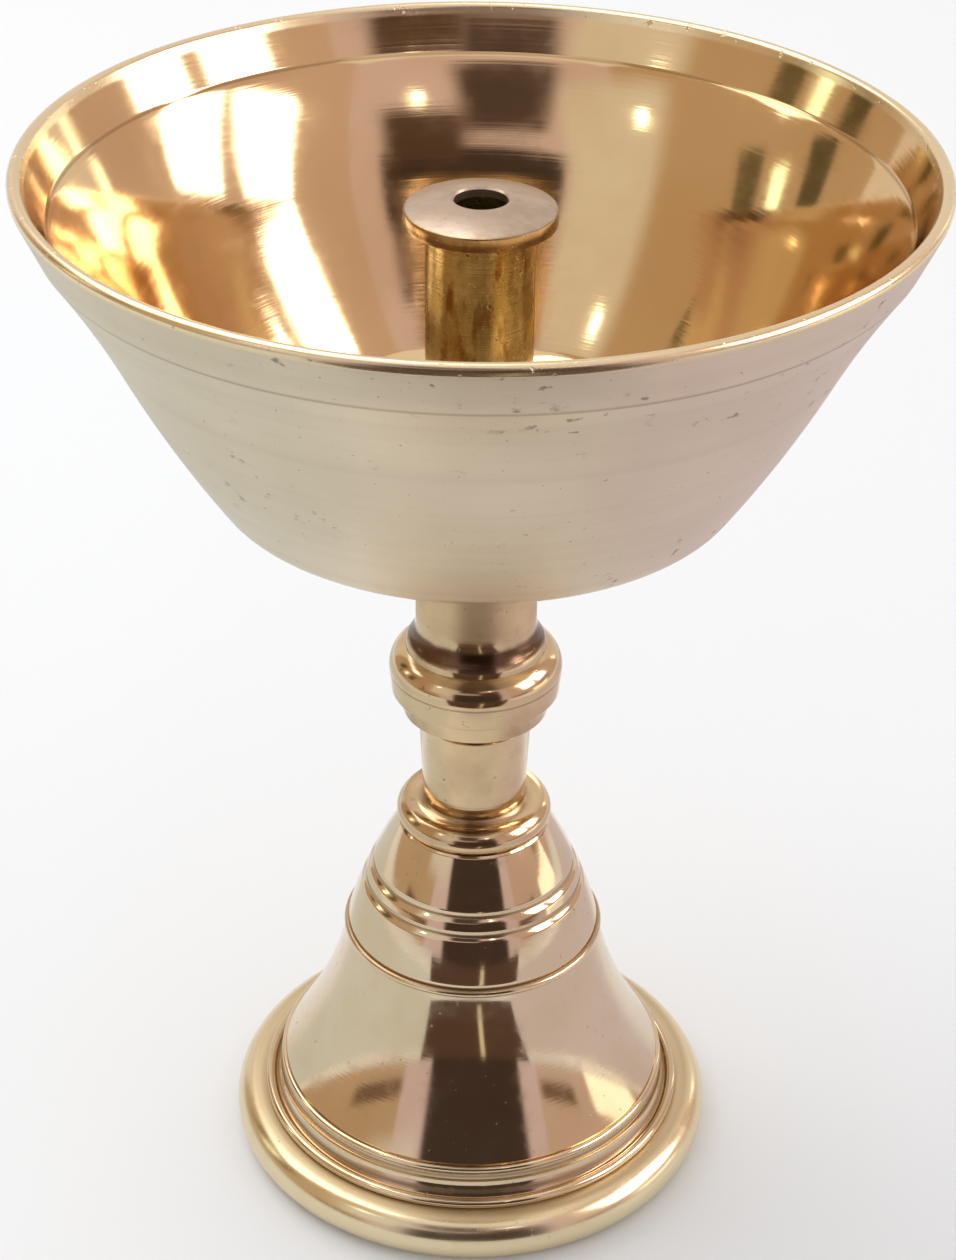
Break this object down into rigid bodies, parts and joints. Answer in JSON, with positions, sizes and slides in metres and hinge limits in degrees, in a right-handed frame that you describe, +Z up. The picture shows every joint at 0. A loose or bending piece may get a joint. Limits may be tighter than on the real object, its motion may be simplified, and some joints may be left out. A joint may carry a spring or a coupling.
{
  "type": "oil lamp",
  "caption": "Small brass oil lamp: a flared oil bowl with an upright wick tube, on a turned stem and a hollow bell foot.",
  "frame": {"origin": "centre of the foot, on the surface that the lamp stands on", "axes": "+Z up along the axis that every piece is turned about; +X and +Y are square to it, and the wick tube's oil holes lie along X and Y"},
  "size_m": [0.075, 0.075, 0.0983],
  "materials": {
    "bell_brass": "polished",
    "washer_brass": "dull, unpolished",
    "nut_steel": "zinc plated, dull",
    "stem_brass": "satin, lathe turned",
    "seal_fibre": "matte red fibre",
    "bowl_brass": "mirror polished inside, satin outside",
    "holder_brass": "turned, lightly stained"
  },
  "bodies": {
    "base": {"bell_base": "bell_brass", "crown_washer": "washer_brass", "crown_nut": "nut_steel", "stem": "stem_brass"},
    "bowl_seal": {"bowl_seal": "seal_fibre"},
    "bowl": {"bowl": "bowl_brass"},
    "wick_seal": {"wick_seal": "seal_fibre"},
    "wick_holder": {"wick_holder": "holder_brass"}
  },
  "joints": [
    {"name": "bowl_rise", "type": "slide", "parent": "base", "child": "bowl_seal", "axis": [0, 0, 1], "range_m": [0, 0.0024]},
    {"name": "bowl_turn", "type": "hinge", "parent": "bowl_seal", "child": "bowl", "pos_m": [0, 0, 0.0627], "axis": [0, 0, 1], "range_deg": [0, 864]},
    {"name": "wick_rise", "type": "slide", "parent": "bowl", "child": "wick_seal", "axis": [0, 0, 1], "range_m": [0, 0.0024]},
    {"name": "wick_turn", "type": "hinge", "parent": "wick_seal", "child": "wick_holder", "pos_m": [0, 0, 0.0687], "axis": [0, 0, 1], "range_deg": [0, 864]}
  ],
  "couplings": [
    {"joint": "bowl_rise", "follows": "bowl_turn", "m_per_rad": 0.00015915},
    {"joint": "wick_rise", "follows": "wick_turn", "m_per_rad": 0.00015915}
  ]
}
